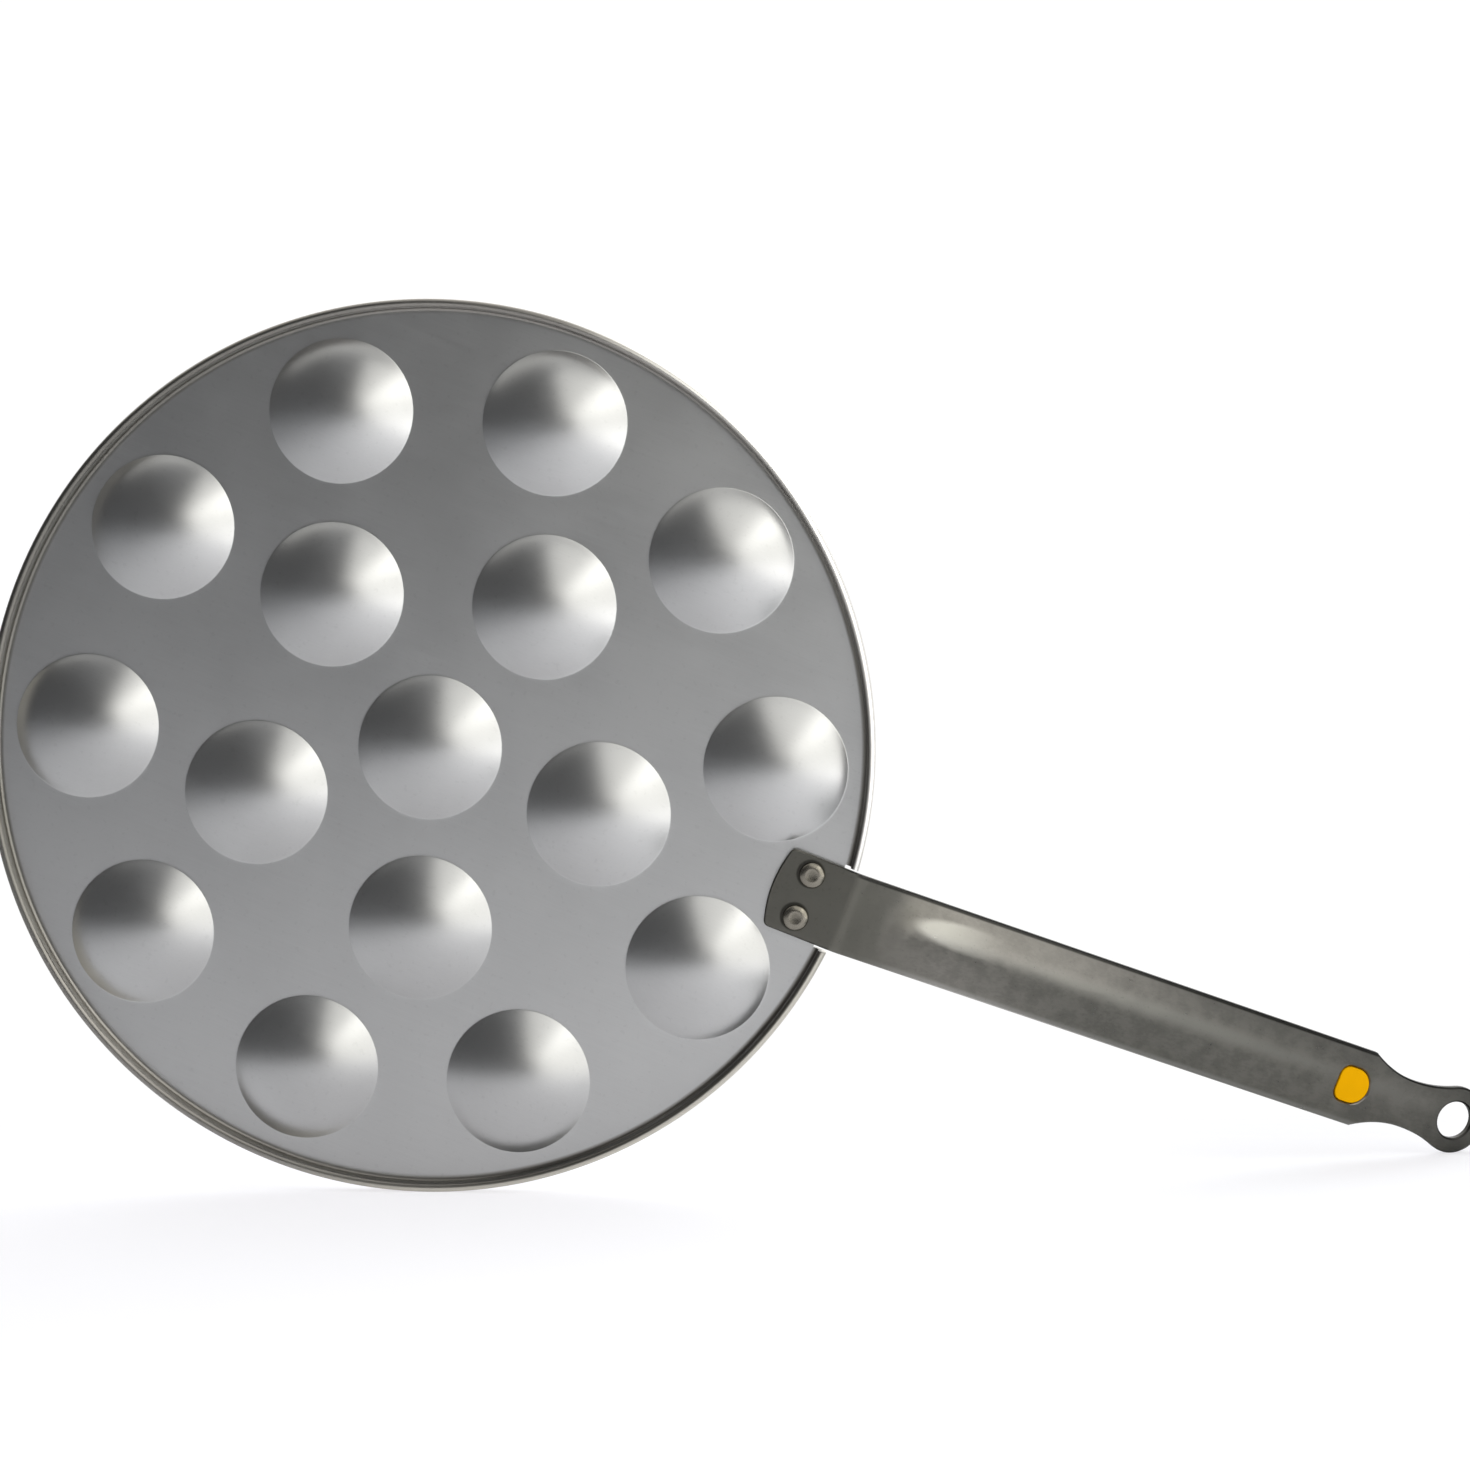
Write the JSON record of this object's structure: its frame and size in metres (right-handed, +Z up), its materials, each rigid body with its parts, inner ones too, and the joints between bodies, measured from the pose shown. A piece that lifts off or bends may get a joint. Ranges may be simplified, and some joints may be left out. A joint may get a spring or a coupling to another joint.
{
  "type": "poffertjes pan",
  "caption": "Round steel griddle pan with small round cavities for mini pancakes, a low folded rim and a riveted strip handle with a hanging eye.",
  "frame": {"origin": "lowest point of the middle cavity's bulge, on the surface that the pan lies on", "axes": "+Z up out of the cooking face, +X along the handle in plan"},
  "size_m": [0.488, 0.27, 0.1028],
  "materials": {
    "pan_steel": "satin rolled carbon steel",
    "handle_steel": "dark hot-rolled steel strip",
    "rivet_steel": "bright steel, pressed heads",
    "plug": "plain yellow moulded plug"
  },
  "bodies": {
    "root": {"pan_body": "pan_steel", "handle": "handle_steel", "rivet_near": "rivet_steel", "rivet_far": "rivet_steel", "marker_plug": "plug"}
  },
  "joints": []
}
